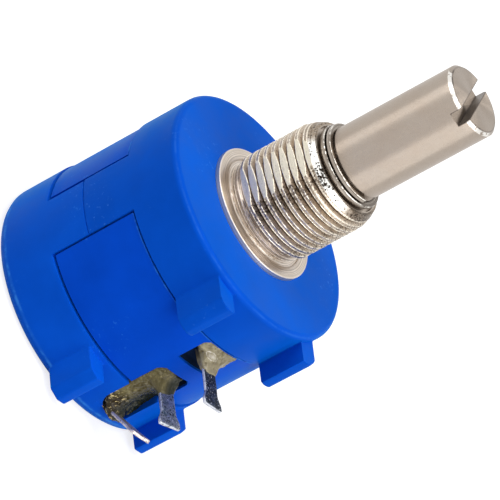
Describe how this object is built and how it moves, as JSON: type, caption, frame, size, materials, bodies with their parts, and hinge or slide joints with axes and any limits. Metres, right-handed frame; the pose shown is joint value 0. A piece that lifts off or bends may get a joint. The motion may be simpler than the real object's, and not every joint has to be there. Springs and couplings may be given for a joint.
{
  "type": "multiturn wirewound potentiometer",
  "caption": "Panel-mount multiturn potentiometer with a moulded two-shell body, a threaded bushing, a slotted shaft, rear solder lugs and a sliding wiper on a helical element inside.",
  "frame": {"origin": "centre of the bushing flange's front face, the plane that seats against a panel, on the shaft axis", "axes": "+Z out along the shaft, -Y towards the solder lugs, +X to the right with the lugs down and the shaft towards the viewer"},
  "size_m": [0.0222, 0.0268, 0.0403],
  "materials": {
    "blue_plastic": "satin moulded",
    "bushing_nickel": "nickel-plated, turned",
    "shaft_nickel": "nickel-plated, satin",
    "ring_steel": "plain",
    "tinned_lug": "tinned",
    "resin": "cast, glossy",
    "wound_wire": "fine wound wire",
    "contact_brass": "rolled",
    "seal_rubber": "smooth",
    "black_plastic": "moulded",
    "ivory_plastic": "moulded"
  },
  "bodies": {
    "housing": {"front_shell": "blue_plastic", "rear_shell": "blue_plastic", "coil_housing": "blue_plastic", "bushing": "bushing_nickel", "resistance_element": "wound_wire", "front_tap": "contact_brass", "rear_tap": "contact_brass", "front_lug": "tinned_lug", "middle_lug": "tinned_lug", "rear_lug": "tinned_lug", "front_sealant": "resin", "rear_sealant": "resin", "collector_brush": "contact_brass", "rear_bearing": "contact_brass"},
    "rotor": {"shaft": "shaft_nickel", "retaining_ring": "ring_steel", "thrust_washer": "ring_steel", "shaft_seal": "seal_rubber", "spring_washer": "ring_steel", "rotor_hub": "black_plastic", "slip_ring": "contact_brass", "collector_rail": "contact_brass"},
    "carriage": {"wiper_carriage": "ivory_plastic", "wiper_contact": "contact_brass", "rail_contact": "contact_brass"}
  },
  "joints": [
    {"name": "shaft_turn", "type": "hinge", "parent": "housing", "child": "rotor", "pos_m": [0, 0, 0], "axis": [0, 0, 1], "range_deg": [-1350, 2250]},
    {"name": "carriage_travel", "type": "slide", "parent": "rotor", "child": "carriage", "axis": [0, 0, 1], "range_m": [-0.0045, 0.0075]}
  ],
  "couplings": [
    {"joint": "carriage_travel", "follows": "shaft_turn", "m_per_rad": 0.00019099}
  ]
}
